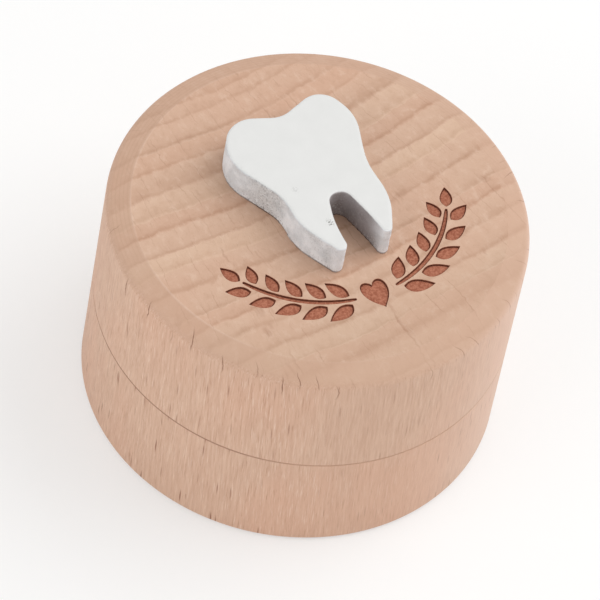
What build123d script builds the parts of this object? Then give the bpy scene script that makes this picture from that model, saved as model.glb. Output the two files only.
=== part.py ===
"""Round turned beech box that keeps a child's milk teeth.

Two turned halves make the box. The base is a cup with a spigot round its mouth, and the lid is a deeper cap
with a socket that slips over the spigot, so the lid lifts straight off and can be turned while it is on.
Both are bored to one diameter, and the closed box holds one round well. A thick tooth-shaped plaque with
white paint on it is glued flat on the lid.

The frame stands at the middle of the base's underside, with +Z up the box's axis. +Y is the way that the
crown of the tooth points. All sizes are millimetres.
"""

import os
from math import radians, tan

from build123d import *

# The two halves, seen from outside
body_diameter = 50.0
base_height = 14.9
lid_height = 16.3

# Edges of the two halves
bevel_width = 2.8
bevel_drop = 1.0
bevel_round = 1.2
foot_ease = 0.5
seam_ease = 0.12

# The spigot on the base, inside the shoulder that carries the lid, and the socket in the lid
shoulder_width = 4.0
spigot_height = 5.0
spigot_wall = 3.0
spigot_lead = 0.5
socket_lead = 0.3
socket_side_clearance = 0.08
socket_end_clearance = 0.3

# The well inside both halves
floor_thickness = 4.0
lid_top_thickness = 5.0
well_lip_ease = 0.3
well_corner_ease = 0.8

# The tooth plaque
tooth_width = 16.6
tooth_height = 21.8
tooth_thickness = 4.4
tooth_edge_round = 0.35
tooth_right_of_axis = 0.2
tooth_tip_below_axis = 9.0

# The straight-sided outline that the tooth is rounded from, clockwise as seen from above. Each corner has its
# place as a share of the tooth's width to the right of its middle and of its height above the left root's tip,
# and then the share of the shorter side beside it at which its rounding starts.
tooth_corner_shares = [
    (-0.550, 0.790, 0.48),  # left lobe, where it is widest
    (-0.340, 1.035, 0.48),  # left lobe, where it is highest
    (0.015, 0.930, 0.20),  # dip between the lobes
    (0.400, 1.037, 0.48),  # right lobe, where it is highest
    (0.528, 0.795, 0.42),  # right lobe, where it is widest
    (0.378, 0.475, 0.36),  # neck, right
    (0.390, 0.220, 0.44),  # swell of the right root
    (0.195, -0.065, 0.48),  # tip of the right root
    (0.157, 0.160, 0.48),  # fork, where its right side bows out
    (0.104, 0.350, 0.48),  # fork, right of its top
    (-0.020, 0.352, 0.48),  # fork, left of its top
    (-0.092, 0.190, 0.48),  # fork, where its left side bows out
    (-0.121, -0.110, 0.49),  # tip of the left root
    (-0.345, 0.240, 0.48),  # swell of the left root
    (-0.330, 0.435, 0.34),  # neck, left
]

# Sizes that follow from the ones above
body_radius = body_diameter / 2
spigot_radius = body_radius - shoulder_width
spigot_top = base_height + spigot_height
well_radius = spigot_radius - spigot_wall
socket_radius = spigot_radius + socket_side_clearance
socket_top = spigot_top + socket_end_clearance
closed_height = base_height + lid_height
well_ceiling = closed_height - lid_top_thickness

os.makedirs("parts", exist_ok=True)

# The base: half of its section, turned round the axis. In the profiles X runs outwards and Y runs up.
with BuildPart() as base:
    with BuildSketch(Plane.XZ) as base_profile:
        with BuildLine():
            Polyline(
                (0, 0),
                (body_radius, 0),
                (body_radius, base_height),
                (spigot_radius, base_height),
                (spigot_radius, spigot_top),
                (well_radius, spigot_top),
                (well_radius, floor_thickness),
                (0, floor_thickness),
                close=True,
            )
        make_face()
        chamfer(base_profile.vertices().group_by(Axis.X)[-1].sort_by(Axis.Y)[-1], seam_ease)
        chamfer(base_profile.vertices().group_by(Axis.X)[-1].sort_by(Axis.Y)[0], foot_ease)
        chamfer(base_profile.vertices().group_by(Axis.Y)[-1].sort_by(Axis.X)[-1], spigot_lead)
        chamfer(base_profile.vertices().group_by(Axis.Y)[-1].sort_by(Axis.X)[0], well_lip_ease)
        floor_line = base_profile.vertices().filter_by_position(Axis.Y, floor_thickness, floor_thickness)
        chamfer(floor_line.sort_by(Axis.X)[-1], well_corner_ease)
    revolve(axis=Axis.Z)
base.part.label = "base"
export_step(base.part, "parts/base.step")

# The lid: a deep cap whose top edge is turned down to a shallow bevel, stepped inside for the spigot
with BuildPart() as lid:
    with BuildSketch(Plane.XZ) as lid_profile:
        with BuildLine():
            Polyline(
                (0, closed_height),
                (body_radius - bevel_width, closed_height),
                (body_radius, closed_height - bevel_drop),
                (body_radius, base_height),
                (socket_radius, base_height),
                (socket_radius, socket_top),
                (well_radius, socket_top),
                (well_radius, well_ceiling),
                (0, well_ceiling),
                close=True,
            )
        make_face()
        fillet(lid_profile.vertices().group_by(Axis.X)[-1].sort_by(Axis.Y)[-1], bevel_round)
        chamfer(lid_profile.vertices().group_by(Axis.Y)[0].sort_by(Axis.X)[-1], seam_ease)
        chamfer(lid_profile.vertices().group_by(Axis.Y)[0].sort_by(Axis.X)[0], socket_lead)
        ceiling_line = lid_profile.vertices().filter_by_position(Axis.Y, well_ceiling, well_ceiling)
        chamfer(ceiling_line.sort_by(Axis.X)[-1], well_corner_ease)
    revolve(axis=Axis.Z)
lid.part.label = "lid"
export_step(lid.part, "parts/lid.step")

# The tooth plaque: sawn to one outline, with its upper edge rounded over under the paint
tooth_corners = [
    Vector(tooth_right_of_axis + across * tooth_width, up * tooth_height - tooth_tip_below_axis)
    for across, up, rounding in tooth_corner_shares
]
tooth_radii = []
for number, corner in enumerate(tooth_corners):
    to_last = tooth_corners[number - 1] - corner
    to_next = tooth_corners[(number + 1) % len(tooth_corners)] - corner
    rounding_start = tooth_corner_shares[number][2] * min(to_last.length, to_next.length)
    tooth_radii.append(rounding_start * tan(radians(to_last.get_angle(to_next) / 2)))

with BuildPart() as tooth_plaque:
    with BuildSketch(Plane.XY.offset(closed_height)):
        with BuildLine():
            FilletPolyline(*tooth_corners, radius=tooth_radii, close=True)
        make_face()
    extrude(amount=tooth_thickness)
    fillet(tooth_plaque.faces().sort_by(Axis.Z)[-1].edges(), tooth_edge_round)
tooth_plaque.part.label = "tooth_plaque"
export_step(tooth_plaque.part, "parts/tooth_plaque.step")
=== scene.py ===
# %% [markdown]
# # A small beech box for milk teeth
#
# The box is turned from beech in two halves. The lid slips over a spigot on the base, and a thick tooth cut
# from wood and painted white is glued on top. A garland of leaves is burnt into the end grain below it.
#
# This file loads the measured model and makes its visible surfaces again with fine detail: eased edges, a
# burnt recess, growth rings, fibres and paint. Lengths are in metres, as in the model, and MM turns a size
# in millimetres into metres.

# %% Load the measured model
import math

import bmesh
import bpy
from mathutils import Matrix, Vector, noise


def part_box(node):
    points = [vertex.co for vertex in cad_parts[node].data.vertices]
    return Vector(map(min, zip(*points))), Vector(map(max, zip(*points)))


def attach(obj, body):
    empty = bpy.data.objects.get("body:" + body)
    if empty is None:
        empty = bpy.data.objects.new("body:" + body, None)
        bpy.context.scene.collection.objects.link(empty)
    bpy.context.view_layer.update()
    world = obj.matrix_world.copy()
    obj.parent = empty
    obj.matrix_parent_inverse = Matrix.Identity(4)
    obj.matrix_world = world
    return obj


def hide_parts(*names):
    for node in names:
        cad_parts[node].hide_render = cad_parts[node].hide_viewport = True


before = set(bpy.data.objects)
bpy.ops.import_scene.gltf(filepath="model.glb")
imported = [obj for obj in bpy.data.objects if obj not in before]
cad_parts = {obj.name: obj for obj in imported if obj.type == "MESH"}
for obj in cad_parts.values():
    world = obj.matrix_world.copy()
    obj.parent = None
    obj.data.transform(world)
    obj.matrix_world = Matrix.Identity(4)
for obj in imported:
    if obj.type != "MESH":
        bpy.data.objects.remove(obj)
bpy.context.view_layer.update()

MM = 0.001

# %% [markdown]
# ## Sizes
#
# A surface that replaces a measured piece has to cover it exactly, so the outside sizes are read from the
# model. The sizes of the edges, the spigot and the well don't show in the outside box of a piece, so each
# is written down here once.

# %% Read the outside sizes and name the small ones
base_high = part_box("base")[1]
lid_low, lid_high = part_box("lid")
tooth_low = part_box("tooth_plaque")[0]

body_radius = (lid_high[0] - lid_low[0]) / 2
seam_height = lid_low[2]
lid_top = lid_high[2]
spigot_top = base_high[2]

bevel_width = 2.8 * MM
bevel_drop = 1.0 * MM
arris_round = 0.8 * MM
foot_ease = 0.5 * MM
seam_ease = 0.12 * MM
shoulder_width = 4.0 * MM
spigot_wall = 3.0 * MM
spigot_lead = 0.5 * MM
side_clearance = 0.08 * MM
end_clearance = 0.3 * MM
floor_thickness = 4.0 * MM
lid_top_thickness = 5.0 * MM
lip_ease = 0.3 * MM
corner_ease = 0.8 * MM

spigot_radius = body_radius - shoulder_width
well_radius = spigot_radius - spigot_wall
socket_radius = spigot_radius + side_clearance
socket_top = spigot_top + end_clearance
well_ceiling = lid_top - lid_top_thickness
print(f"box {body_radius * 2 / MM:.1f} mm across and {lid_top / MM:.1f} mm high")
print(f"seam {seam_height / MM:.1f} mm up, well {well_radius * 2 / MM:.1f} mm across")

# %% [markdown]
# ## Camera
#
# The photograph was taken from far off through a long lens, so its lines hardly run together. A camera
# turned by eye would make errors that look like errors in the box, so its distance and tilt come from a fit
# to the rims, the seam and the foot in the picture. The box leans a little there, so the camera is rolled.

# %% Place the camera
VIEW_TURN = math.radians(-38.0)
VIEW_HEIGHT = math.radians(51.55)
VIEW_ROLL = math.radians(11.46)
VIEW_DISTANCE = 723.9 * MM
VIEW_RIGHT = 1.54 * MM
VIEW_UP = 8.56 * MM
LENS_LENGTH = 360.0
SENSOR_WIDTH = 36.0
NEAREST_SEEN = 50 * MM

level = Matrix.Rotation(VIEW_TURN, 3, "Z") @ Matrix.Rotation(math.pi / 2 - VIEW_HEIGHT, 3, "X")
rolled = level @ Matrix.Rotation(VIEW_ROLL, 3, "Z")
stand = rolled @ Vector((VIEW_RIGHT, VIEW_UP, VIEW_DISTANCE))
camera_data = bpy.data.cameras.new("camera")
camera_data.lens = LENS_LENGTH
camera_data.sensor_width = SENSOR_WIDTH
camera_data.clip_start = NEAREST_SEEN
camera = bpy.data.objects.new("camera", camera_data)
camera.matrix_world = Matrix.Translation(stand) @ rolled.to_4x4()
bpy.context.scene.collection.objects.link(camera)
bpy.context.scene.camera = camera
bpy.context.scene.view_settings.view_transform = "Standard"
print("camera at", [round(v, 3) for v in camera.matrix_world.translation])

# %% [markdown]
# ## Light
#
# The picture has no hard shadows. A wide soft light stands high on the right, a little behind the box, and
# a white room fills the rest. One lamp and the room would leave the walls on the left darker than in the
# picture, so a weaker lamp stands in front on the left. Large area lamps are used for their soft shadows,
# and a pale world for the room.

# %% Light the scene
KEY_DISTANCE, KEY_SIZE, KEY_POWER = 0.6, 0.60, 2.05
FILL_DISTANCE, FILL_SIZE, FILL_POWER = 0.8, 0.6, 1.6
ROOM_STRENGTH = 0.61
WHITE = (1.0, 1.0, 1.0, 1.0)


def soft_lamp(name, direction, distance, size, power):
    """A square area lamp in that direction as the camera sees it, facing the middle of the box."""
    place = (level @ Vector(direction)).normalized() * distance
    lamp_data = bpy.data.lights.new(name, "AREA")
    lamp_data.shape = "SQUARE"
    lamp_data.size = size
    lamp_data.energy = power
    lamp = bpy.data.objects.new(name, lamp_data)
    towards = Vector((0, 0, lid_top / 2)) - place
    lamp.rotation_euler = towards.to_track_quat("-Z", "Y").to_euler()
    lamp.location = place
    bpy.context.scene.collection.objects.link(lamp)
    print(name, "at", [round(v, 3) for v in place])


soft_lamp("key lamp", (0.62, 0.75, 0.45), KEY_DISTANCE, KEY_SIZE, KEY_POWER)
soft_lamp("fill lamp", (-0.62, -0.15, 0.75), FILL_DISTANCE, FILL_SIZE, FILL_POWER)

world = bpy.data.worlds.new("white room")
world.use_nodes = True
room = world.node_tree.nodes["Background"]
room.inputs["Color"].default_value = WHITE
room.inputs["Strength"].default_value = ROOM_STRENGTH
bpy.context.scene.world = world

# %% [markdown]
# ## Building a finish from nodes
#
# Every finish is a small network of nodes. Wired one at a time, a recipe would run to hundreds of lines, so
# short helpers do the wiring. Each takes numbers and sockets alike: it links a socket and sets a number.

# %% Put nodes down and do sums with them
def paint(red, green, blue):
    """The linear colour of a colour written as three numbers from 0 to 255."""
    channels = [value / 255 for value in (red, green, blue)]
    linear = [c / 12.92 if c <= 0.04045 else ((c + 0.055) / 1.055) ** 2.4 for c in channels]
    return (*linear, 1.0)


def start_material(name):
    """A new material, its tree and the shader on it."""
    material = bpy.data.materials.new(name)
    material.use_nodes = True
    return material, material.node_tree, material.node_tree.nodes["Principled BSDF"]


def put(tree, kind, inputs=None, **settings):
    """Puts a node down. An input that is a socket is linked, and any other value is set."""
    made = tree.nodes.new(kind)
    for name, value in settings.items():
        setattr(made, name, value)
    for name, value in (inputs or {}).items():
        if isinstance(value, bpy.types.NodeSocket):
            tree.links.new(value, made.inputs[name])
        else:
            made.inputs[name].default_value = value
    return made


def work(tree, operation, *values, clamp=False):
    """The outcome of one sum on numbers or sockets."""
    inputs = dict(enumerate(values))
    return put(tree, "ShaderNodeMath", inputs, operation=operation, use_clamp=clamp).outputs[0]


def times(tree, first, second):
    """The product of two numbers or sockets."""
    return work(tree, "MULTIPLY", first, second)


def less(tree, whole, part, size):
    """The whole less the part times its size."""
    return work(tree, "SUBTRACT", whole, times(tree, part, size))


def more(tree, whole, part, size):
    """The whole plus the part times its size."""
    return work(tree, "ADD", whole, times(tree, part, size))


def rises(tree, value, low, high):
    """0 below low, 1 above high, and a smooth climb in between."""
    inputs = {"Value": value, "From Min": low, "From Max": high}
    return put(tree, "ShaderNodeMapRange", inputs, interpolation_type="SMOOTHSTEP").outputs[0]


def falls(tree, value, low, high):
    """1 below low, 0 above high, and a smooth fall in between: a climb with its limits exchanged."""
    return rises(tree, value, high, low)


print("a grey of 128 is", round(paint(128, 128, 128)[0], 3), "in linear light")

# %% [markdown]
# Patterns read the object's own coordinates, scaled to millimetres, so that a number in a recipe is a size
# that can be measured on the wood. A cloud is a soft random pattern whose values lie between 0 and 1, most
# of them near 0.5, so that limits such as 0.50 and 0.72 pick out a part of it.

# %% Work with places, patterns and colours
def move(tree, operation, first, second):
    """The outcome of one sum on vectors."""
    return put(tree, "ShaderNodeVectorMath", {0: first, 1: second}, operation=operation).outputs[0]


def length_of(tree, vector):
    """How long a vector is."""
    return put(tree, "ShaderNodeVectorMath", {0: vector}, operation="LENGTH").outputs["Value"]


def along(tree, vector, axis):
    """One of the three numbers of a vector: its X, its Y or its Z."""
    return put(tree, "ShaderNodeSeparateXYZ", {"Vector": vector}).outputs[axis]


def joined(tree, first, second):
    """A flat vector of two numbers."""
    return put(tree, "ShaderNodeCombineXYZ", {"X": first, "Y": second}).outputs[0]


def in_millimetres(tree, coordinates):
    """Coordinates in metres, scaled to millimetres."""
    return put(tree, "ShaderNodeMapping", {"Vector": coordinates, "Scale": (1 / MM,) * 3}).outputs[0]


def cloud(tree, place, scale, detail=2.0, roughness=0.5, output="Fac"):
    """A soft random pattern. scale is in lumps per millimetre, one number for each axis."""
    stretched = put(tree, "ShaderNodeMapping", {"Vector": place, "Scale": scale}).outputs[0]
    inputs = {"Vector": stretched, "Scale": 1.0, "Detail": detail, "Roughness": roughness}
    return put(tree, "ShaderNodeTexNoise", inputs).outputs[output]


def draw_lots(tree, number):
    """Random numbers that are always the same for one whole number: Value is one, and Color holds three."""
    return put(tree, "ShaderNodeTexWhiteNoise", {"W": number}, noise_dimensions="1D").outputs


def blend_colours(tree, share, first, second):
    """first with that share of second over it."""
    inputs = {"Factor": share, 6: first, 7: second}
    return put(tree, "ShaderNodeMix", inputs, data_type="RGBA").outputs[2]


def tint(tree, colour, pattern, strength, over):
    """A colour with another one over it, by a pattern times a strength."""
    return blend_colours(tree, times(tree, pattern, strength), colour, over)


def dress(tree, shader, colour, relief, strength, depth):
    """Gives a shader its colour, and lights it as if its surface had that relief."""
    bump = put(tree, "ShaderNodeBump", {"Height": relief, "Strength": strength, "Distance": depth})
    tree.links.new(colour, shader.inputs["Base Color"])
    tree.links.new(bump.outputs[0], shader.inputs["Normal"])


def set_gloss(tree, shader, value, low, high, reflection):
    """A roughness that goes from low to high with a value, and how much light the surface mirrors."""
    roughness = put(tree, "ShaderNodeMapRange", {"Value": value, "To Min": low, "To Max": high})
    tree.links.new(roughness.outputs[0], shader.inputs["Roughness"])
    shader.inputs["Specular IOR Level"].default_value = reflection


# %% [markdown]
# ## Beech
#
# The blanks are cut so that the grain stands upright: the top shows end grain and the sides show long
# grain. Pictures of wood laid on both wouldn't meet at the edges, but one solid pattern gives both, as in
# real wood. First each point is looked up in the tree that the blank came from: how far it lies from the
# pith, and how far round. The pith is far outside the box, so the growth rings cross the top as gentle arcs
# and run down inside the sides. They wander a little, as no tree grows quite round.

# %% Find a point's place in the tree
# Each wandering: its lumps per millimetre, its detail and its width in millimetres
WANDERINGS = [
    ((0.05, 0.05, 0.02), 1.0, 1.8),
    ((0.34, 0.34, 0.05), 2.0, 0.9),
    ((1.6, 1.6, 0.2), 2.0, 0.5),
]


def pushed(tree, place, read_at, scale, detail, width):
    """The place moved sideways by a soft random push of that width in millimetres."""
    lumps = move(tree, "SUBTRACT", cloud(tree, read_at, scale, detail, output="Color"), (0.5,) * 3)
    return move(tree, "ADD", place, move(tree, "MULTIPLY", lumps, (width, width, 0.0)))


def place_in_tree(tree, place, moved, pith):
    """How far a point lies round the pith and out from it, in millimetres."""
    wandering = place
    for scale, detail, width in WANDERINGS:
        wandering = pushed(tree, wandering, moved, scale, detail, width)
    from_pith = move(tree, "MULTIPLY", move(tree, "SUBTRACT", wandering, (*pith, 0.0)), (1.0, 1.0, 0.0))
    turn = work(tree, "ARCTAN2", along(tree, from_pith, "X"), along(tree, from_pith, "Y"))
    around = times(tree, turn, math.hypot(*pith))
    return around, length_of(tree, from_pith)


print("the rings wander by up to", sum(width for scale, detail, width in WANDERINGS) / 2, "mm")

# %% [markdown]
# ### Growth rings
#
# A ring starts pale with the spring wood, darkens slowly, and ends in a thin soft line where the summer
# wood stops. A wave pattern would make all rings alike. So a slow random drift is added to the distance
# from the pith before it is cut into rings, and each year draws lots for the strength of its line and for
# its tone. Another first year would give other lots.

# %% Draw the growth rings
RING_PITCH = 2.8
DRIFT_WIDTH = 4.0
DRIFT_SCALE = 0.17
FIRST_YEAR = 22.0
RING_LIGHT = paint(211, 176, 152)
RING_DARK = paint(182, 142, 116)
YEAR_RED = paint(204, 161, 136)
YEAR_PALE = paint(220, 188, 162)
YEAR_TONE = 0.50


def growth_rings(tree, around, outwards):
    """The colour of the growth rings."""
    drift_inputs = {"W": times(tree, outwards, DRIFT_SCALE), "Scale": 1.0, "Detail": 1.0}
    drift = put(tree, "ShaderNodeTexNoise", drift_inputs, noise_dimensions="1D").outputs["Fac"]
    grown = work(tree, "DIVIDE", more(tree, outwards, drift, DRIFT_WIDTH), RING_PITCH)
    ring = work(tree, "FRACT", grown)
    year = draw_lots(tree, work(tree, "ADD", work(tree, "FLOOR", grown), FIRST_YEAR))

    # Through one ring: a slow darkening, a line near its end, and a short way back to pale
    slow = times(tree, rises(tree, ring, 0.05, 0.85), 0.40)
    dark = more(tree, slow, rises(tree, ring, 0.62, 0.88), 0.62)
    dark = times(tree, dark, falls(tree, ring, 0.85, 1.0))

    # Each year has its own strength, and a line is stronger here and fainter there
    patchy = cloud(tree, joined(tree, around, outwards), (0.38, 0.9, 1.0))
    strength = more(tree, patchy, year["Value"], 0.5)
    dark = work(tree, "MULTIPLY", dark, strength, clamp=True)
    colour = blend_colours(tree, dark, RING_LIGHT, RING_DARK)

    # Some years are redder than the rest, and some are paler
    redder = rises(tree, along(tree, year["Color"], "X"), 0.40, 1.0)
    paler = rises(tree, along(tree, year["Color"], "Y"), 0.40, 1.0)
    colour = tint(tree, colour, redder, YEAR_TONE, YEAR_RED)
    return tint(tree, colour, paler, YEAR_TONE, YEAR_PALE)


print("a ring about every", RING_PITCH, "mm")

# %% [markdown]
# ### End grain
#
# Seen from the end, beech is a mass of fine pores with rays between them. The rays run outwards from the
# pith, straight across the rings: a few are long brown lines, and most are fine and short. Lines at even
# distances would look like a grid, so a ray is drawn where a stretched cloud passes through its middle
# value. A painted shade makes the end grain a touch darker towards the front.

# %% Draw the end grain
END_SHADE = paint(178, 137, 110)
END_PATCH = paint(210, 168, 143)
END_PALE = paint(226, 196, 174)
FRONT_PAINTED_SHADE = paint(190, 166, 143)
RAY_SHADE = paint(164, 121, 96)
LONG_RAYS = 0.38
FINE_RAYS = 0.22


def thin_lines(tree, pattern, width):
    """1 along the lines where a soft pattern passes through its middle value, and 0 away from them."""
    off_middle = work(tree, "ABSOLUTE", work(tree, "SUBTRACT", pattern, 0.5))
    return falls(tree, off_middle, 0.0, width)


def end_grain(tree, place, around, outwards, rings, patch):
    """The colour and the relief of wood that is cut across the grain."""
    polar = joined(tree, around, outwards)
    mottle = cloud(tree, polar, (0.9, 0.6, 1.0), 5.0, 0.66)
    pore = cloud(tree, place, (5.5, 5.5, 0.6), 2.0, 0.7)
    # Painted shade: the end grain is made a touch darker towards the front
    front = falls(tree, along(tree, place, "Y"), -17.0, -8.0)
    colour = tint(tree, rings, rises(tree, patch, 0.42, 0.66), 0.40, END_PATCH)
    colour = tint(tree, colour, rises(tree, mottle, 0.50, 0.72), 0.24, END_SHADE)
    colour = tint(tree, colour, falls(tree, mottle, 0.30, 0.50), 0.40, END_PALE)
    colour = tint(tree, colour, rises(tree, pore, 0.55, 0.78), 0.26, END_SHADE)
    colour = tint(tree, colour, front, 0.24, FRONT_PAINTED_SHADE)

    # Long rays, and fine ones that come in short runs
    long_ray = thin_lines(tree, cloud(tree, polar, (0.42, 0.006, 1.0), 0.0), 0.016)
    long_gap = rises(tree, cloud(tree, polar, (0.5, 0.24, 1.0)), 0.47, 0.60)
    fine_ray = thin_lines(tree, cloud(tree, polar, (1.5, 0.03, 1.0), 0.0), 0.034)
    fine_gap = rises(tree, cloud(tree, polar, (0.5, 0.55, 1.0), 1.0), 0.50, 0.64)
    long_rays = times(tree, times(tree, long_ray, long_gap), LONG_RAYS)
    fine_rays = times(tree, times(tree, fine_ray, fine_gap), FINE_RAYS)
    rays = work(tree, "ADD", long_rays, fine_rays, clamp=True)
    colour = blend_colours(tree, rays, colour, RAY_SHADE)
    return colour, less(tree, times(tree, mottle, 0.4), pore, 0.5)


# %% [markdown]
# ### Long grain
#
# Down the sides the fibres show as fine upright streaks, pale and dark, that break off after a few
# millimetres. They stand out more on one side of the box, and the other side is calmer, and painted light
# makes it paler. The rays are cut through and show as the short dark flecks that tell beech from maple.
# Spots from a cloud would be soft and round, so each fleck fills one tall narrow cell of a Voronoi pattern,
# and most cells stay empty.

# %% Draw the long grain
FIBRE_LEAN = (0.03, 0.05, 0.0)
SIDE_LIGHT = paint(221, 186, 162)
SIDE_DARK = paint(204, 165, 141)
SIDE_PATCH = paint(220, 174, 148)
SIDE_PAINTED_LIGHT = paint(232, 205, 190)
STREAK_DARK = paint(178, 130, 103)
STREAK_PALE = paint(236, 209, 190)
FLECK = paint(140, 88, 64)
FLECK_CELLS = (2.6, 2.6, 0.20)


def long_grain(tree, place, moved, rings, patch, flecks):
    """The colour and the relief of wood that is cut along the grain, and the pattern of its fibres."""
    leaning = put(tree, "ShaderNodeMapping", {"Vector": moved, "Rotation": FIBRE_LEAN}).outputs[0]
    fibre = cloud(tree, leaning, (3.0, 3.0, 0.20), 4.0, 0.66)
    fine_fibre = cloud(tree, leaning, (8.0, 8.0, 0.34), 2.0, 0.6)
    colour = blend_colours(tree, rises(tree, fibre, 0.26, 0.74), SIDE_DARK, SIDE_LIGHT)
    colour = blend_colours(tree, 0.10, colour, rings)
    colour = tint(tree, colour, rises(tree, patch, 0.44, 0.70), 0.5, SIDE_PATCH)

    # Coarse streaks on one side, and calm wood on the other, which painted light makes paler
    across = along(tree, place, "X")
    calm_side = rises(tree, across, -13.0, -5.0)
    coarse = more(tree, 0.42, rises(tree, cloud(tree, moved, (0.09, 0.09, 0.03), 1.0), 0.38, 0.62), 0.18)
    coarse = less(tree, coarse, calm_side, 0.26)
    colour = tint(tree, colour, rises(tree, fine_fibre, 0.56, 0.72), coarse, STREAK_DARK)
    colour = tint(tree, colour, falls(tree, fine_fibre, 0.30, 0.44), coarse, STREAK_PALE)
    # Painted light makes the wood paler towards +X
    colour = tint(tree, colour, rises(tree, across, -2.0, 24.0), 0.55, SIDE_PAINTED_LIGHT)

    # Ragged flecks, a few of them dark and more of them faint
    ragged = pushed(tree, leaning, leaning, (4.0, 4.0, 0.5), 2.0, 0.06)
    cells = put(tree, "ShaderNodeMapping", {"Vector": ragged, "Scale": FLECK_CELLS}).outputs[0]
    cell_inputs = {"Vector": cells, "Scale": 1.0, "Randomness": 1.0}
    cell = put(tree, "ShaderNodeTexVoronoi", cell_inputs, feature="F1").outputs
    lot = along(tree, cell["Color"], "X")
    inside = falls(tree, cell["Distance"], 0.08, 0.34)
    fleck = times(tree, rises(tree, lot, 0.62, 1.0), inside)
    fleck = times(tree, fleck, less(tree, 1.0, calm_side, 0.45))
    colour = tint(tree, colour, fleck, flecks, FLECK)
    relief = more(tree, times(tree, fibre, 0.6), fine_fibre, 0.5)
    relief = less(tree, relief, fleck, 0.9)
    return colour, relief, fibre


print(f"a fleck's cell is {1 / FLECK_CELLS[0]:.2f} mm wide and {1 / FLECK_CELLS[2]:.1f} mm high")

# %% [markdown]
# ### Cracks over the edge
#
# Where the wall turns over into the bevel, some fibres have lifted and left curved cracks, finer than the
# faces of the mesh. They follow the surface over the edge, so they are drawn on the wall as if it were
# unrolled: one direction runs round the box, and the other runs up the wall and on over the bevel. The way
# round is cut into short stretches, and random numbers give the crack in each its place, height and bow.

# %% Draw the cracks
CRACK_PITCH = 2.3
CRACK = paint(138, 94, 70)


def unrolled(tree, place):
    """Millimetres round the box, up the wall and on inwards, out from the axis, and up."""
    height = along(tree, place, "Z")
    axis_distance = length_of(tree, move(tree, "MULTIPLY", place, (1.0, 1.0, 0.0)))
    backwards = times(tree, along(tree, place, "Y"), -1.0)
    turn = work(tree, "ARCTAN2", along(tree, place, "X"), backwards)
    round_box = times(tree, turn, body_radius / MM)
    up = work(tree, "ADD", height, work(tree, "SUBTRACT", body_radius / MM, axis_distance))
    return round_box, up, axis_distance, height


def edge_cracks(tree, place, round_box, up):
    """How dark the cracks over the lid's edge are, from 0 to 1."""
    stretch = work(tree, "DIVIDE", round_box, CRACK_PITCH)
    lots = draw_lots(tree, work(tree, "FLOOR", stretch))
    size_lot = lots["Value"]
    middle = more(tree, 0.25, along(tree, lots["Color"], "X"), 0.5)
    across = times(tree, work(tree, "SUBTRACT", work(tree, "FRACT", stretch), middle), CRACK_PITCH)
    wavering = work(tree, "SUBTRACT", cloud(tree, place, (0.6, 0.6, 0.6)), 0.5)
    across = more(tree, across, wavering, 0.8)

    # Upright on the wall and bent over on the bevel
    edge = lid_top / MM - bevel_drop / MM
    middle_height = more(tree, edge - 1.5, along(tree, lots["Color"], "Y"), 3.0)
    above = work(tree, "SUBTRACT", up, middle_height)
    past_edge = work(tree, "MAXIMUM", work(tree, "SUBTRACT", up, edge - 1.0), 0.0)
    bend = more(tree, 0.06, along(tree, lots["Color"], "Z"), 0.16)
    bowed = more(tree, across, bend, work(tree, "POWER", past_edge, 1.6))

    # Thin, wider at the lower end, and fading out at both
    thin = falls(tree, work(tree, "ABSOLUTE", bowed), 0.01, less(tree, 0.10, above, 0.02))
    short = falls(tree, work(tree, "ABSOLUTE", above), 0.4, more(tree, 0.9, size_lot, 1.3))
    strength = rises(tree, size_lot, 0.10, 0.85)

    # The cutting edge tore the fibres on one side of the grain and laid them flat on the other
    torn_side = falls(tree, along(tree, place, "Y"), -2.0, 16.0)
    calm_side = rises(tree, along(tree, place, "X"), -10.0, 6.0)
    strength = times(tree, strength, more(tree, 0.15, torn_side, 0.85))
    strength = times(tree, strength, less(tree, 1.0, calm_side, 0.55))
    return times(tree, times(tree, thin, short), strength)


print("at most one crack every", CRACK_PITCH, "mm round the edge")

# %% [markdown]
# ### The bevel, the joint and the pale ring
#
# The bevel is sanded across the fibres, so its pattern is softer, and a painted shade makes it a little
# darker. The tool's fine lines are left on the side where the fibres lie flat. Dust darkens the joint
# between the halves, and a painted shadow darkens it more on one side. A paler line is painted on the ring
# where the bevel starts, and it fades out on the other side. All of these follow circles about the box's
# axis, so they are drawn from the distance to it and the height.

# %% Draw the bevel, the joint and the pale ring
BEVEL_SMOOTHING_AND_PAINTED_SHADE = paint(202, 165, 141)
TOOL_LINE = paint(182, 142, 118)
JOINT_DUST_AND_SHADOW = paint(118, 66, 48)
PALE_RING_TINT = paint(236, 212, 194)
TOOL_LINES = 14.0
JOINT_WIDTH = 0.18
PALE_RING_WIDTH = 0.22


def near_ring(tree, axis_distance, height, ring_radius, ring_height, width):
    """1 on the circle of that radius and height about the axis, falling to 0 at that distance from it."""
    off_radius = work(tree, "SUBTRACT", axis_distance, ring_radius)
    off_height = work(tree, "SUBTRACT", height, ring_height)
    return falls(tree, length_of(tree, joined(tree, off_radius, off_height)), 0.0, width)


def bevel_finish(tree, colour, place, axis_distance, upright):
    """The colour with the bevel's softer pattern and painted shade, and the lines of the tool over it."""
    on_bevel = times(tree, falls(tree, upright, 0.94, 0.995), rises(tree, upright, 0.10, 0.75))
    # A flatter colour softens the bevel's pattern, and as a painted shade it darkens the bevel a little
    colour = tint(tree, colour, on_bevel, 0.45, BEVEL_SMOOTHING_AND_PAINTED_SHADE)
    tool_line = rises(tree, work(tree, "SINE", times(tree, axis_distance, TOOL_LINES)), 0.2, 1.0)
    flat_side = rises(tree, along(tree, place, "Y"), -4.0, 8.0)
    tool_line = times(tree, times(tree, tool_line, on_bevel), flat_side)
    return tint(tree, colour, tool_line, 0.16, TOOL_LINE)


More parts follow.
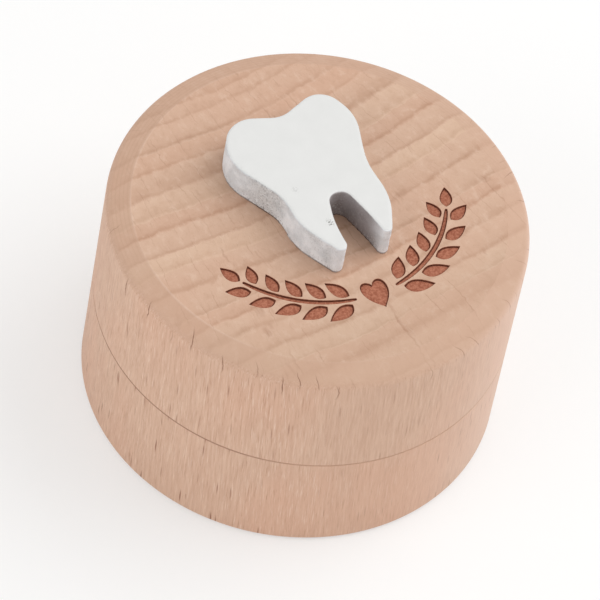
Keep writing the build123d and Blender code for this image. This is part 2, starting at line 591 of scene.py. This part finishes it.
def joint_and_ring_tints(tree, colour, place, axis_distance, height):
    """The colour with the dusty joint, darkened more on one side by a painted shadow, and the pale ring over
    it.
    """
    across = along(tree, place, "X")
    # Dust darkens the joint all round, and a painted shadow darkens it more on one side
    joint = near_ring(tree, axis_distance, height, body_radius / MM, seam_height / MM, JOINT_WIDTH)
    shadowed_side = falls(tree, across, -21.0, -10.0)
    colour = tint(tree, colour, joint, more(tree, 0.10, shadowed_side, 0.65), JOINT_DUST_AND_SHADOW)
    # A paler line is painted on the ring where the bevel starts, in patches, and fades out on the other side
    ring_radius = (body_radius - bevel_width) / MM
    pale_ring = near_ring(tree, axis_distance, height, ring_radius, lid_top / MM, PALE_RING_WIDTH)
    ring_gaps = rises(tree, cloud(tree, place, (0.06, 0.06, 0.06)), 0.38, 0.62)
    brightness = times(tree, less(tree, 0.24, ring_gaps, 0.18), falls(tree, across, -8.0, 12.0))
    return tint(tree, colour, pale_ring, brightness, PALE_RING_TINT)


# %% [markdown]
# ### The whole recipe
#
# A material each for the top and the walls would part them by a sharp line on the rounded edge. So one
# recipe holds both grains, and the direction a surface faces says which one shows: end grain where it is
# level, and long grain where it is upright. Inside, where nobody sands, the lathe's fine lines are left.
# The lid and the base come from different places in the tree, and the base has the darker flecks.

# %% Mix the beech
LID_PITH = (-13.0, 125.0)
BASE_PITH = (-22.0, 131.0)
LID_FLECKS = 0.50
BASE_FLECKS = 0.88
BASE_SHIFT = 17.0
LATHE_LINES = 0.30
BEECH_RELIEF = 0.10 * MM
SOFT_REFLECTION = 0.35


def beech(name, pith, flecks, shift=0.0, tool_marks=0.0):
    """Beech with its pith at that place in millimetres. flecks is how dark the flecks on its sides are,
    shift takes the blank from another part of the tree, and tool_marks is how deep the lathe's lines are."""
    material, tree, shader = start_material(name)
    coordinates = put(tree, "ShaderNodeTexCoord").outputs
    place = in_millimetres(tree, coordinates["Object"])
    moved = move(tree, "ADD", place, (shift, shift * 0.7, shift * 0.4))
    patch = cloud(tree, moved, (0.07, 0.07, 0.03), 3.0)
    around, outwards = place_in_tree(tree, place, moved, pith)
    rings = growth_rings(tree, around, outwards)
    end_colour, end_relief = end_grain(tree, place, around, outwards, rings, patch)
    long_colour, long_relief, fibre = long_grain(tree, place, moved, rings, patch, flecks)

    # Which grain shows
    upright = work(tree, "ABSOLUTE", along(tree, coordinates["Normal"], "Z"))
    end_share = rises(tree, upright, 0.50, 1.0)
    colour = blend_colours(tree, end_share, long_colour, end_colour)
    relief = put(tree, "ShaderNodeMix", {"Factor": end_share, "A": long_relief, "B": end_relief}).outputs[0]

    # The bevel, the cracks, the joint and the pale ring
    round_box, up, axis_distance, height = unrolled(tree, place)
    colour = bevel_finish(tree, colour, place, axis_distance, upright)
    crack = edge_cracks(tree, place, round_box, up)
    colour = blend_colours(tree, crack, colour, CRACK)
    relief = less(tree, relief, crack, 0.8)
    colour = joint_and_ring_tints(tree, colour, place, axis_distance, height)
    if tool_marks:
        groove = work(tree, "SINE", times(tree, axis_distance, TOOL_LINES))
        relief = more(tree, relief, times(tree, groove, end_share), tool_marks)
    dress(tree, shader, colour, relief, 0.5, BEECH_RELIEF)
    set_gloss(tree, shader, fibre, 0.52, 0.70, SOFT_REFLECTION)
    return material


lid_beech = beech("lid beech", LID_PITH, LID_FLECKS)
lid_bored = beech("lid bored beech", LID_PITH, LID_FLECKS, tool_marks=LATHE_LINES)
base_beech = beech("base beech", BASE_PITH, BASE_FLECKS, BASE_SHIFT)
base_bored = beech("base bored beech", BASE_PITH, BASE_FLECKS, BASE_SHIFT, LATHE_LINES)
print("beech recipes", len(lid_beech.node_tree.nodes), "nodes each")

# %% [markdown]
# ## Burnt wood
#
# A laser burns the garland into the lid. It leaves a flat reddish-brown floor with a faint grain, and a
# thin dark line of scorched wood all round it. One finish could change with the depth, but three plain ones
# are easier to set: toasted wood for the lip, scorched wood for the wall and burnt wood for the floor.

# %% The burnt finishes
BURNT_RELIEF = 0.08 * MM


def burnt(name, pale, dark, strength):
    """Charred wood between two colours, rough all over."""
    material, tree, shader = start_material(name)
    place = in_millimetres(tree, put(tree, "ShaderNodeTexCoord").outputs["Object"])
    char = cloud(tree, place, (3.4, 3.4, 3.4), 3.0, 0.65)
    soot = cloud(tree, place, (9.0, 2.6, 5.0), 2.0, 0.6)
    colour = blend_colours(tree, rises(tree, char, 0.32, 0.68), dark, pale)
    colour = tint(tree, colour, rises(tree, soot, 0.56, 0.72), 0.5, dark)
    dress(tree, shader, colour, soot, strength, BURNT_RELIEF)
    shader.inputs["Roughness"].default_value = 0.85
    shader.inputs["Specular IOR Level"].default_value = 0.2
    return material


toasted = burnt("toasted wood", paint(196, 144, 117), paint(170, 114, 90), 0.3)
scorched = burnt("scorched wood", paint(124, 70, 50), paint(92, 49, 35), 0.5)
burnt_floor = burnt("burnt wood", paint(186, 122, 97), paint(152, 89, 67), 0.5)
print("burnt recipes", len(toasted.node_tree.nodes), "nodes each")

# %% [markdown]
# ## Turned pieces
#
# A lathe shapes a blank by one profile. The Screw modifier and the spin operator do the same, and the
# operator is used because its mesh can be worked on at once. A profile is a chain of points from the foot
# to the top. Fine steps keep its rim round even up close. The flat ends are left as single faces, because a
# fan of thin triangles would show in the light and spoil the burnt recess.

# %% Turn a profile into a piece
SPIN_STEPS = 180
SAME_PLACE = 0.001 * MM
TOLERANCE = 0.01 * MM
BORE_MARGIN = 0.1 * MM


def turned(profile):
    """A mesh spun from (radius, height) points, with its open ends filled flat."""
    piece = bmesh.new()
    chain = [piece.verts.new((radius, 0.0, height)) for radius, height in profile]
    edges = [piece.edges.new(pair) for pair in zip(chain, chain[1:])]
    bmesh.ops.spin(piece, geom=chain + edges, cent=(0, 0, 0), axis=(0, 0, 1), angle=2 * math.pi,
                   steps=SPIN_STEPS, use_merge=True)
    bmesh.ops.remove_doubles(piece, verts=piece.verts, dist=SAME_PLACE)
    rims = [edge for edge in piece.edges if edge.is_boundary]
    bmesh.ops.holes_fill(piece, edges=rims, sides=SPIN_STEPS * 2)
    bmesh.ops.recalc_face_normals(piece, faces=piece.faces)
    return piece


def ease(piece, radius, height, width, segments=3):
    """Bevels the ring of edges at that radius and height."""
    def on_ring(vertex):
        off_radius = abs(math.hypot(vertex.co.x, vertex.co.y) - radius)
        return off_radius < TOLERANCE and abs(vertex.co.z - height) < TOLERANCE

    ring = [edge for edge in piece.edges if all(on_ring(vertex) for vertex in edge.verts)]
    bmesh.ops.bevel(piece, geom=ring, offset=width, offset_type="OFFSET", segments=segments, profile=0.5,
                    affect="EDGES", material=-1)


def mark_bored(piece, radius, low, high):
    """Gives the second finish to the faces within that radius of the axis and between those heights."""
    for face in piece.faces:
        middle = face.calc_center_median()
        bored = math.hypot(middle.x, middle.y) < radius + TOLERANCE
        face.material_index = 1 if bored and low < middle.z < high else 0


def finish_piece(piece, name, materials, sharp=24):
    """Makes an object of a mesh, with smooth faces and edges that are sharp past that angle in degrees."""
    mesh = bpy.data.meshes.new(name)
    piece.to_mesh(mesh)
    piece.free()
    for material in materials:
        mesh.materials.append(material)
    mesh.shade_smooth()
    mesh.set_sharp_from_angle(angle=math.radians(sharp))
    made = bpy.data.objects.new(name, mesh)
    bpy.context.scene.collection.objects.link(made)
    return made


# %% [markdown]
# ## The base
#
# The base is a cup. A shoulder round its mouth carries the lid, and a spigot stands up inside the shoulder
# to hold it in place. Each arris is eased by a touch of sandpaper, so it catches a thin line of light. A
# Bevel modifier would ease every edge by one width, so each ring of edges is bevelled on its own.

# %% Turn the base
FOOT_TOUCH = 0.18 * MM
SPIGOT_TOUCH = 0.15 * MM
LIP_TOUCH = 0.12 * MM
CORNER_TOUCH = 0.3 * MM

base_profile = [
    (body_radius - foot_ease, 0.0),
    (body_radius, foot_ease),
    (body_radius, seam_height - seam_ease),
    (body_radius - seam_ease, seam_height),
    (spigot_radius, seam_height),
    (spigot_radius, spigot_top - spigot_lead),
    (spigot_radius - spigot_lead, spigot_top),
    (well_radius + lip_ease, spigot_top),
    (well_radius, spigot_top - lip_ease),
    (well_radius, floor_thickness + corner_ease),
    (well_radius - corner_ease, floor_thickness),
]
base_piece = turned(base_profile)
for radius, height, width in [
    (body_radius - foot_ease, 0.0, FOOT_TOUCH),
    (body_radius, foot_ease, FOOT_TOUCH),
    (spigot_radius - spigot_lead, spigot_top, SPIGOT_TOUCH),
    (spigot_radius, spigot_top - spigot_lead, SPIGOT_TOUCH),
    (well_radius + lip_ease, spigot_top, LIP_TOUCH),
    (well_radius, spigot_top - lip_ease, LIP_TOUCH),
    (well_radius, floor_thickness + corner_ease, CORNER_TOUCH),
    (well_radius - corner_ease, floor_thickness, CORNER_TOUCH),
]:
    ease(base_piece, radius, height, width)
mark_bored(base_piece, well_radius, floor_thickness - BORE_MARGIN, spigot_top)
base = finish_piece(base_piece, "base_turned", [base_beech, base_bored])
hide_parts("base")
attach(base, "base")
print("base", len(base.data.polygons), "faces")

# %% [markdown]
# ## The lid
#
# The lid is a deeper cap, turned and eased as the base is. Its top edge is turned down to a shallow bevel
# with a soft outer arris and a crisp inner ring, and a wider socket is bored in its mouth for the spigot.

# %% Turn the lid
SOCKET_TOUCH = 0.15 * MM
ARRIS_SEGMENTS = 6
LID_SHARP = 16

lid_profile = [
    (body_radius - bevel_width, lid_top),
    (body_radius, lid_top - bevel_drop),
    (body_radius, seam_height + seam_ease),
    (body_radius - seam_ease, seam_height),
    (socket_radius + lip_ease, seam_height),
    (socket_radius, seam_height + lip_ease),
    (socket_radius, socket_top),
    (well_radius, socket_top),
    (well_radius, well_ceiling - corner_ease),
    (well_radius - corner_ease, well_ceiling),
]
lid_piece = turned(lid_profile)
ease(lid_piece, body_radius, lid_top - bevel_drop, arris_round, ARRIS_SEGMENTS)
ease(lid_piece, well_radius, socket_top, SOCKET_TOUCH)
ease(lid_piece, well_radius, well_ceiling - corner_ease, CORNER_TOUCH)
ease(lid_piece, well_radius - corner_ease, well_ceiling, CORNER_TOUCH)
mark_bored(lid_piece, socket_radius, 0.0, well_ceiling + BORE_MARGIN)
lid_finishes = [lid_beech, lid_bored, toasted, scorched, burnt_floor]
lid = finish_piece(lid_piece, "lid_turned", lid_finishes, LID_SHARP)
print("lid", len(lid.data.polygons), "faces")

# %% [markdown]
# ## The burnt garland
#
# The lid carries a plain garland in an arc below the tooth: two sprigs of leaves that meet at a small
# heart. A painted mask could show it, but only a real recess has its own shade. So each shape starts as a
# circle pressed into its outline, and is extruded down in steps, drawn in a little each time: the lip is
# toasted, the wall scorched and the floor burnt. A sprig is drawn on a straight stem and then bent round
# the arc, and the finished shapes are cut out of the wood.

# %% Name the garland's sizes
ARC_MIDDLE = Vector((0.2 * MM, 2.6 * MM, 0.0))
ARC_RADIUS = 16.0 * MM
HEART_SIZE = 3.5 * MM
STEM_START = 2.6 * MM
STEM_END = 16.4 * MM
STEM_WIDTH = 0.66 * MM
LEAF_PAIRS = 5
LEAF_LENGTH = 3.6 * MM
LEAF_WIDTH = 1.8 * MM
LEAF_LEAN = math.radians(37)
LEAF_GAP = 0.30 * MM
TOASTED_SLOT, SCORCHED_SLOT, FLOOR_SLOT = 2, 3, 4

# Each step of the recess: its depth below the lid's top, how far the outline has drawn in there, and the
# finish of the wall that leads down to it
recess_steps = [
    (-0.06 * MM, -0.04 * MM, TOASTED_SLOT),
    (0.04 * MM, 0.03 * MM, TOASTED_SLOT),
    (0.22 * MM, 0.06 * MM, SCORCHED_SLOT),
    (0.23 * MM, 0.16 * MM, SCORCHED_SLOT),
]
print("recess", recess_steps[-1][0] / MM, "mm deep")


# %% Sink an outline into a cutter
def sink(piece, outline, length, width, tip=1.0):
    """Scales a flat outline of size 1 to that length and width, extrudes it down through the recess, and
    returns its vertices. Its ends draw in faster than its sides by the factor tip. The first face stays as
    the cutter's top, and each later one is deleted once the next has grown from it."""
    now = Vector((1.0, 1.0))
    height = 0.0
    face = outline[0].link_faces[0]
    shape = list(outline)
    for number, (depth, drawn_in, slot) in enumerate(recess_steps):
        if number:
            upper = face
            made = bmesh.ops.extrude_face_region(piece, geom=[upper])["geom"]
            face = next(item for item in made if isinstance(item, bmesh.types.BMFace))
            shape += face.verts
            if number > 1:
                bmesh.ops.delete(piece, geom=[upper], context="FACES_ONLY")
        size = Vector((length - 2 * tip * drawn_in, width - 2 * drawn_in))
        bmesh.ops.scale(piece, vec=(size.x / now.x, size.y / now.y, 1.0), verts=list(face.verts))
        bmesh.ops.translate(piece, vec=(0, 0, lid_top - depth - height), verts=list(face.verts))
        now = size
        height = lid_top - depth
        for wall in {wall for edge in face.edges for wall in edge.link_faces} - {face}:
            wall.material_index = slot
    face.material_index = FLOOR_SLOT
    return shape


# %% Press circles into leaves, stems and a heart
def pressed_circle(piece, segments):
    """A flat circle of diameter 1 with a face, as its list of vertices."""
    return bmesh.ops.create_circle(piece, cap_ends=True, segments=segments, radius=0.5)["verts"]


def leaf(piece, root, lean, length, width):
    """A pointed leaf, widest nearer its root, that leans off the stem by that angle."""
    outline = pressed_circle(piece, 32)
    for vertex in outline:
        vertex.co.y *= 2 * abs(vertex.co.y)
        vertex.co.x -= 0.10 * (1 - 4 * vertex.co.x ** 2)
    shape = sink(piece, outline, length, width, tip=1.45)
    bmesh.ops.translate(piece, vec=(length / 2, 0, 0), verts=shape)
    bmesh.ops.rotate(piece, cent=(0, 0, 0), matrix=Matrix.Rotation(lean, 3, "Z"), verts=shape)
    bmesh.ops.translate(piece, vec=(*root, 0), verts=shape)
    return shape


def stem(piece, start, end, width):
    """A thin stem with blunt ends."""
    outline = pressed_circle(piece, 64)
    for vertex in outline:
        vertex.co.y = math.copysign(0.5 * abs(2 * vertex.co.y) ** 0.4, vertex.co.y)
    shape = sink(piece, outline, end - start, width)
    bmesh.ops.translate(piece, vec=((start + end) / 2, 0, 0), verts=shape)
    return shape


def heart(piece, size):
    """A plain heart: a circle whose points are raised by how far they lie from its middle line."""
    outline = pressed_circle(piece, 64)
    for vertex in outline:
        vertex.co.y += 0.62 * abs(vertex.co.x) ** 0.7 - 0.12
    return sink(piece, outline, size, size)


def bend(shape, side):
    """Bends a shape on a straight stem along +X round the arc, to the right for 1 and to the left for -1."""
    for vertex in shape:
        angle = side * vertex.co.x / ARC_RADIUS
        reach = ARC_RADIUS - vertex.co.y
        vertex.co = ARC_MIDDLE + Vector((reach * math.sin(angle), -reach * math.cos(angle), vertex.co.z))


# %% Lay out the garland
garland = bmesh.new()
bend(heart(garland, HEART_SIZE), 1)
for side in (-1, 1):
    bend(stem(garland, STEM_START, STEM_END, STEM_WIDTH), side)
    for number in range(LEAF_PAIRS):
        share = number / (LEAF_PAIRS - 1)
        out_along = STEM_START + 0.7 * MM + share * (STEM_END - STEM_START - 2.2 * MM)
        length = LEAF_LENGTH * (1 - 0.18 * share)
        width = LEAF_WIDTH * (1 - 0.14 * share)
        for edge in (-1, 1):
            root = (out_along, edge * (STEM_WIDTH / 2 + LEAF_GAP))
            bend(leaf(garland, root, edge * LEAF_LEAN, length, width), side)
    bend(leaf(garland, (STEM_END + LEAF_GAP, 0), 0.0, LEAF_LENGTH * 0.82, LEAF_WIDTH * 0.86), side)
bmesh.ops.recalc_face_normals(garland, faces=garland.faces)
open_edges = sum(1 for edge in garland.edges if not edge.is_manifold)
print("cutter", len(garland.faces), "faces,", open_edges, "open edges")
print("it holds", round(garland.calc_volume() / MM ** 3, 2), "cubic mm")
cutter = finish_piece(garland, "garland_cutter", lid_finishes)

# %% Cut the garland into the lid
cut = lid.modifiers.new("burnt recess", "BOOLEAN")
cut.operation = "DIFFERENCE"
cut.solver = "EXACT"
cut.object = cutter
evaluated = lid.evaluated_get(bpy.context.evaluated_depsgraph_get())
cut_mesh = bpy.data.meshes.new_from_object(evaluated)
cut_mesh.name = "lid_turned"
lid.modifiers.clear()
lid.data = cut_mesh
bpy.data.objects.remove(cutter)
cut_mesh.shade_smooth()
cut_mesh.set_sharp_from_angle(angle=math.radians(LID_SHARP))
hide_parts("lid")
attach(lid, "lid")
used = sorted({polygon.material_index for polygon in cut_mesh.polygons})
print("lid with its garland", len(cut_mesh.polygons), "faces, finishes used", used)

# %% [markdown]
# ## White paint
#
# The tooth is sawn from a thick board and painted white. On top the paint lies smooth, but for two small
# chips. On the sawn walls it soaks in, so they are greyer, with darker grains where the wood shows through,
# most of them along the foot and in a few torn places. A painted shade darkens the fork between the roots,
# painted light makes the ends of the roots paler, and a dark line runs along the foot. Two materials would
# part in a line on the rounded edge, so one recipe blends the top and the walls by the direction that the
# surface faces.

# %% Find spots on the tooth
FORK_TOP = (0.8, -2.6)
# Each chip: its place, how far it reaches and how strongly it shows
CHIPS = [((-1.98, -4.86), 0.55, 1.0), ((-3.4, 1.0), 0.60, 0.18)]
# Each torn spot: its place, how far it is fully torn, how far it reaches and how strongly it shows
TORN_SPOTS = [((-6.7, 2.3), 0.8, 3.6, 1.0), ((-3.4, -8.0), 0.3, 1.8, 0.45)]
ROUND = (1.0, 1.0)
CHIP_STRETCH = (1.0, 0.7)
FORK_STRETCH = (1.0, 0.42)


def near_spot(tree, place, spot, stretch, inner, outer):
    """1 within the inner distance of a spot seen from above, and 0 beyond the outer one."""
    off = move(tree, "MULTIPLY", move(tree, "SUBTRACT", place, (*spot, 0.0)), (*stretch, 0.0))
    return falls(tree, length_of(tree, off), inner, outer)


def torn_by_saw(tree, place):
    """How torn the saw left the wall, from 0 to 1."""
    torn = times(tree, rises(tree, cloud(tree, place, (0.26, 0.26, 0.26), 1.0), 0.54, 0.68), 0.6)
    for spot, inner, outer, strength in TORN_SPOTS:
        torn_spot = times(tree, near_spot(tree, place, spot, ROUND, inner, outer), strength)
        torn = work(tree, "MAXIMUM", torn, torn_spot)
    return torn


print(len(CHIPS), "chips and", len(TORN_SPOTS), "torn spots")

# %% The paint
THIN_PAINT = paint(214, 217, 220)
FULL_PAINT = paint(235, 237, 240)
ROOT_END_PAINTED_LIGHT = paint(250, 250, 252)
TORN_PAINT = paint(164, 161, 156)
DARK_GRAIN = paint(112, 104, 104)
PALE_GRAIN = paint(248, 249, 250)
FORK_PAINTED_SHADE = paint(104, 82, 78)
FOOT_DARK_LINE = paint(92, 64, 50)
TOP_PAINT = paint(222, 222, 220)
TOP_PALE = paint(229, 229, 227)
CHIP_SHADE = paint(112, 110, 106)
PAINT_RELIEF = 0.12 * MM


def wall_paint(tree, place, haze, grain):
    """The paint on the sawn walls, with painted shade in the fork and painted light on the root ends."""
    above_lid = work(tree, "SUBTRACT", along(tree, place, "Z"), tooth_low[2] / MM)
    foot = falls(tree, above_lid, 0.1, 1.3)
    torn_places = torn_by_saw(tree, place)
    # Painted shade deep in the fork between the roots
    fork_shade = near_spot(tree, place, FORK_TOP, FORK_STRETCH, 2.3, 3.7)
    colour = blend_colours(tree, rises(tree, haze, 0.38, 0.62), THIN_PAINT, FULL_PAINT)
    colour = tint(tree, colour, torn_places, 0.46, TORN_PAINT)
    colour = tint(tree, colour, fork_shade, 0.70, FORK_PAINTED_SHADE)

    # Torn grains, more of them along the foot and in the torn places
    torn = more(tree, more(tree, 0.12, foot, 0.42), torn_places, 0.44)
    colour = tint(tree, colour, rises(tree, grain, 0.53, 0.66), torn, DARK_GRAIN)
    colour = tint(tree, colour, falls(tree, grain, 0.34, 0.46), torn, PALE_GRAIN)

    # Painted light makes the ends of the roots paler, and a dark line runs along the foot
    lit_root_ends = falls(tree, along(tree, place, "Y"), -9.8, -7.4)
    colour = tint(tree, colour, lit_root_ends, 0.62, ROOT_END_PAINTED_LIGHT)
    # A dark line along the foot of the tooth
    dark_foot_line = falls(tree, above_lid, 0.14, 0.34)
    return tint(tree, colour, dark_foot_line, more(tree, 0.55, torn_places, 0.35), FOOT_DARK_LINE)


def top_paint(tree, place, haze):
    """The colour of the smooth paint on top, with its chips."""
    colour = blend_colours(tree, haze, TOP_PAINT, TOP_PALE)
    dots = rises(tree, cloud(tree, place, (4.5, 4.5, 4.5), 2.0, 0.7), 0.50, 0.56)
    for spot, reach, strength in CHIPS:
        chipped = times(tree, near_spot(tree, place, spot, CHIP_STRETCH, 0.1, reach), dots)
        colour = tint(tree, colour, chipped, strength, CHIP_SHADE)
    return colour


def white_paint(name):
    """Matt white paint that is smooth on level faces and rough and grey on upright ones."""
    material, tree, shader = start_material(name)
    coordinates = put(tree, "ShaderNodeTexCoord").outputs
    place = in_millimetres(tree, coordinates["Object"])
    wall = falls(tree, along(tree, coordinates["Normal"], "Z"), 0.45, 0.90)
    haze = cloud(tree, place, (0.45, 0.45, 0.45), 3.0)
    grain = cloud(tree, place, (4.4, 4.4, 3.4), 3.0, 0.75)
    brushed = cloud(tree, place, (1.1, 4.5, 1.0))
    colour = blend_colours(tree, wall, top_paint(tree, place, haze), wall_paint(tree, place, haze, grain))
    relief = more(tree, times(tree, brushed, 0.05), grain, wall)
    dress(tree, shader, colour, relief, 0.6, PAINT_RELIEF)
    set_gloss(tree, shader, wall, 0.45, 0.85, SOFT_REFLECTION)
    return material


tooth_paint = white_paint("white paint")
print("white paint", len(tooth_paint.node_tree.nodes), "nodes")

# %% [markdown]
# ## The tooth
#
# What a saw leaves on a wall is real shape, and a bump in the shading would leave its outline smooth. So
# the Remesh modifier turns a copy of the measured tooth into a fine even mesh, and two noises push each
# point of its walls in a little: a broad one for the saw's facets, and a fine one for torn grain. A small
# undercut runs along the foot. Points only go inwards, so that the tooth keeps its size.

# %% Copy the tooth as an even mesh
MESH_STEP = 0.15 * MM

copied = bmesh.new()
copied.from_mesh(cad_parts["tooth_plaque"].data)
bmesh.ops.remove_doubles(copied, verts=copied.verts, dist=SAME_PLACE)
tooth = finish_piece(copied, "tooth_painted", [tooth_paint])
even = tooth.modifiers.new("even mesh", "REMESH")
even.mode = "VOXEL"
even.voxel_size = MESH_STEP
even_mesh = bpy.data.meshes.new_from_object(tooth.evaluated_get(bpy.context.evaluated_depsgraph_get()))
tooth.modifiers.clear()
print("even tooth", len(even_mesh.polygons), "faces")

# %% Roughen the sawn walls
BROAD_DEPTH = 0.10 * MM
BROAD_LUMPS = 0.9
FINE_DEPTH = 0.05 * MM
FINE_LUMPS = 3.4
FOOT_DEPTH = 0.12 * MM
FOOT_HEIGHT = 0.25 * MM

rough = bmesh.new()
rough.from_mesh(even_mesh)
rough.normal_update()
pushes = []
for vertex in rough.verts:
    facing_out = max(0.0, 1.0 - abs(vertex.normal.z) * 1.6)
    spot = vertex.co / MM
    broad = 0.5 + 0.5 * noise.noise(spot * BROAD_LUMPS)
    fine = 0.5 + 0.5 * noise.fractal(spot * FINE_LUMPS, 0.6, 2.0, 2)
    foot = max(0.0, 1.0 - (vertex.co.z - tooth_low[2]) / FOOT_HEIGHT)
    level_push = Vector((vertex.normal.x, vertex.normal.y, 0.0)) * foot * FOOT_DEPTH
    pushes.append(vertex.normal * facing_out * (BROAD_DEPTH * broad + FINE_DEPTH * fine) + level_push)
for vertex, push in zip(rough.verts, pushes):
    vertex.co -= push
rough.to_mesh(even_mesh)
rough.free()
tooth.data = even_mesh
tooth.data.name = "tooth_painted"
tooth.data.shade_smooth()
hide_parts("tooth_plaque")
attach(tooth, "lid")
print("deepest push", round(max(push.length for push in pushes) / MM, 3), "mm")

# %% [markdown]
# ## The floor
#
# The box stands on a plain white sheet that runs on past the picture, so that nothing but a soft shadow
# tells where it is. A matt sheet alone would be greyer than the one in the picture, so a share of pure
# white light is mixed into it. The Light Path node keeps this light off the box: only what the camera sees
# of the sheet, directly or in a reflection, glows.

# %% Lay the floor
SHEET_GLOW = 0.45
SHEET_REACH = 3.0

floor_piece = bmesh.new()
bmesh.ops.create_grid(floor_piece, x_segments=1, y_segments=1, size=SHEET_REACH)
sheet, tree, shader = start_material("white sheet")
shader.inputs["Base Color"].default_value = paint(250, 250, 249)
shader.inputs["Roughness"].default_value = 0.9
shader.inputs["Specular IOR Level"].default_value = 0.1
ray = put(tree, "ShaderNodeLightPath").outputs
seen = work(tree, "MAXIMUM", ray["Is Camera Ray"], ray["Is Glossy Ray"])
seen = work(tree, "MAXIMUM", seen, ray["Is Transmission Ray"])
glow = put(tree, "ShaderNodeEmission", {"Color": WHITE, "Strength": 1.0})
mixed = {"Fac": times(tree, seen, SHEET_GLOW), 1: shader.outputs[0], 2: glow.outputs[0]}
shown = put(tree, "ShaderNodeMixShader", mixed)
tree.links.new(shown.outputs[0], tree.nodes["Material Output"].inputs["Surface"])
floor = finish_piece(floor_piece, "floor", [sheet])
print("sheet", 2 * SHEET_REACH, "m across")
